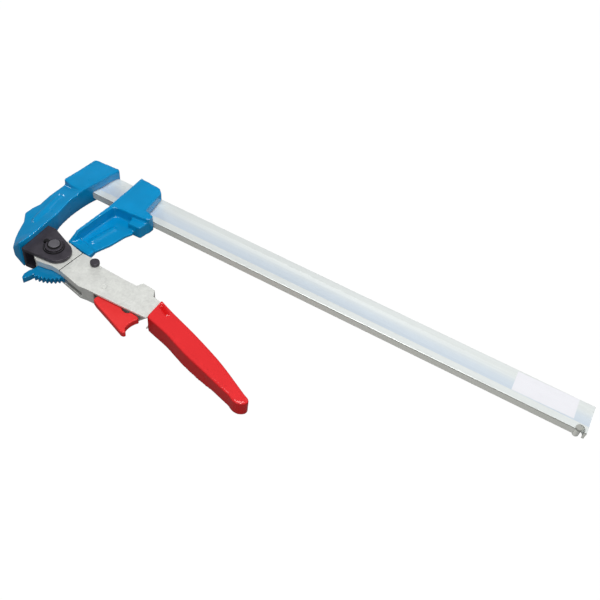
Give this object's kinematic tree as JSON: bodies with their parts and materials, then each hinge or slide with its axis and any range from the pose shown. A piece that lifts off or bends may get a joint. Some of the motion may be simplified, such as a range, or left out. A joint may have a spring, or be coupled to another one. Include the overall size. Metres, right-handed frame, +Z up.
{
  "type": "quick release bar clamp",
  "caption": "Bar clamp with a fixed jaw at the bar's end, a jaw that slides along the bar, and a hinged ratchet lever with a dipped grip and a release trigger.",
  "frame": {"origin": "on the fixed jaw's flat underside, under the bar's centre line, where the jaw's inner face meets the bar", "axes": "+X along the bar to its free end, +Y across the bar away from the jaw tips, +Z up from the side that the clamp lies on"},
  "size_m": [0.5228, 0.1651, 0.031],
  "materials": {
    "blue_enamel": "glossy enamel over a casting",
    "blackened_steel": "satin black oxide",
    "zinc_plate": "satin zinc plate",
    "bar_steel": "bright drawn and zinc plated",
    "red_dip": "glossy dipped coat",
    "bush_brass": "turned",
    "spring_steel": "oiled"
  },
  "bodies": {
    "bar_side": {"bar": "bar_steel", "bar_end_stop_pin": "bar_steel", "fixed_jaw": "blue_enamel", "head_rivet_1": "blue_enamel", "head_rivet_2": "blue_enamel", "pivot_bracket": "blackened_steel", "bracket_rivet_1": "blackened_steel", "bracket_rivet_2": "blackened_steel", "pivot_pin": "blackened_steel", "pivot_washer_upper": "blackened_steel", "pivot_washer_lower": "blackened_steel", "pivot_clip_upper": "blackened_steel", "pivot_clip_lower": "blackened_steel", "ratchet_sector": "blue_enamel"},
    "sliding_side": {"sliding_jaw": "blue_enamel", "jaw_grip_pin_near": "spring_steel", "jaw_grip_pin_far": "spring_steel"},
    "lever": {"lever_head": "zinc_plate", "pivot_bush_upper": "bush_brass", "pivot_bush_lower": "bush_brass", "lever_body": "zinc_plate", "lever_stud": "blackened_steel", "lever_rivet_upper_1": "zinc_plate", "lever_rivet_upper_2": "zinc_plate", "lever_rivet_lower_1": "zinc_plate", "lever_rivet_lower_2": "zinc_plate", "trigger_pin": "zinc_plate", "trigger_spring": "spring_steel", "handle_grip": "red_dip"},
    "release_trigger": {"pawl": "spring_steel", "trigger": "red_dip"}
  },
  "joints": [
    {"name": "sliding_jaw_slide", "type": "slide", "parent": "bar_side", "child": "sliding_side", "axis": [1, 0, 0], "range_m": [-0.012, 0.41]},
    {"name": "lever_hinge", "type": "hinge", "parent": "bar_side", "child": "lever", "pos_m": [0.021, -0.0942, 0.014], "axis": [0, 0, 1], "range_deg": [-40, 0]},
    {"name": "trigger_hinge", "type": "hinge", "parent": "lever", "child": "release_trigger", "pos_m": [0.084, -0.106, 0.014], "axis": [0, 0, 1], "range_deg": [0, 6], "stiffness_Nm_per_rad": 0.1}
  ]
}
